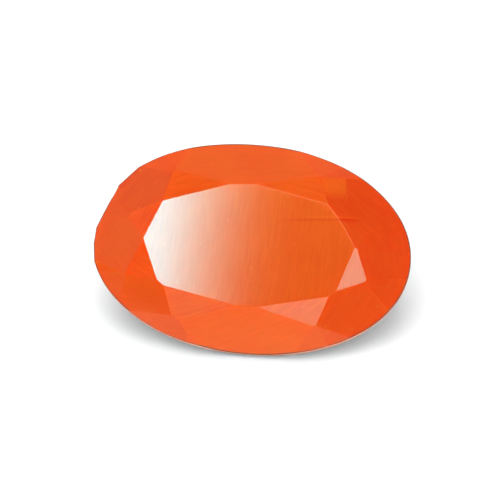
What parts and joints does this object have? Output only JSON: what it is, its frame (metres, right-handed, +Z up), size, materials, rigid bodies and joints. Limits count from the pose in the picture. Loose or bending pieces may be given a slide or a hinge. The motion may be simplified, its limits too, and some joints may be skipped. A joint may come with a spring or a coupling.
{
  "type": "faceted carnelian",
  "caption": "Oval faceted carnelian in translucent orange-red, a loose cut gemstone lying on one of its lower facets with its table leaning forward.",
  "frame": {"origin": "on the surface that the stone lies on, under the middle of its bounding box", "axes": "+X along the stone's length, +Z up, and -Y towards the side that the table leans to"},
  "size_m": [0.0148, 0.0078, 0.0068],
  "materials": {
    "carnelian": "polished, translucent"
  },
  "bodies": {
    "root": {"carnelian": "carnelian"}
  },
  "joints": []
}
